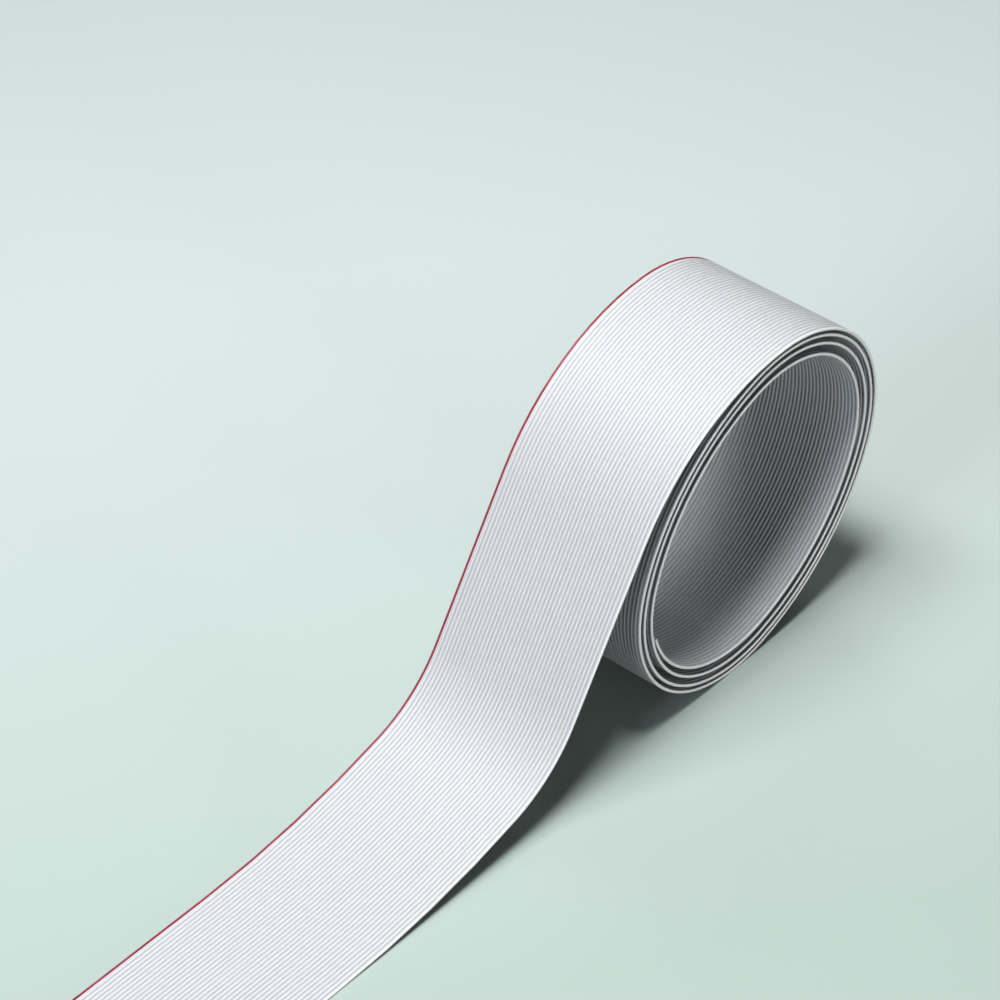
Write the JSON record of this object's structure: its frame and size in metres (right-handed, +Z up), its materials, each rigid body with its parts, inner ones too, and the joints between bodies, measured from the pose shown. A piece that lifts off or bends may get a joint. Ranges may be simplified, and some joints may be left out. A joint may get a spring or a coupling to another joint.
{
  "type": "ribbon cable",
  "caption": "Flat grey ribbon cable with round conductors side by side and a red edge, partly rolled into a loose coil with its free tail lying flat.",
  "frame": {"origin": "middle of the bounding box on the surface that the coil and the tail rest on", "axes": "+X from the tail's cut end towards the coil, +Y across the ribbon towards its red edge, +Z up"},
  "size_m": [0.2966, 0.0504, 0.1065],
  "materials": {
    "grey_pvc": "satin flexible PVC",
    "red_pvc": "satin flexible PVC",
    "tinned_copper": "tin-plated strands"
  },
  "bodies": {
    "root": {"insulation": "grey_pvc", "edge_stripe": "red_pvc", "conductor_01": "tinned_copper", "conductor_02": "tinned_copper", "conductor_03": "tinned_copper", "conductor_04": "tinned_copper", "conductor_05": "tinned_copper", "conductor_06": "tinned_copper", "conductor_07": "tinned_copper", "conductor_08": "tinned_copper", "conductor_09": "tinned_copper", "conductor_10": "tinned_copper", "conductor_11": "tinned_copper", "conductor_12": "tinned_copper", "conductor_13": "tinned_copper", "conductor_14": "tinned_copper", "conductor_15": "tinned_copper", "conductor_16": "tinned_copper", "conductor_17": "tinned_copper", "conductor_18": "tinned_copper", "conductor_19": "tinned_copper", "conductor_20": "tinned_copper", "conductor_21": "tinned_copper", "conductor_22": "tinned_copper", "conductor_23": "tinned_copper", "conductor_24": "tinned_copper", "conductor_25": "tinned_copper", "conductor_26": "tinned_copper", "conductor_27": "tinned_copper", "conductor_28": "tinned_copper", "conductor_29": "tinned_copper", "conductor_30": "tinned_copper", "conductor_31": "tinned_copper", "conductor_32": "tinned_copper", "conductor_33": "tinned_copper", "conductor_34": "tinned_copper", "conductor_35": "tinned_copper", "conductor_36": "tinned_copper", "conductor_37": "tinned_copper", "conductor_38": "tinned_copper", "conductor_39": "tinned_copper", "conductor_40": "tinned_copper"}
  },
  "joints": []
}
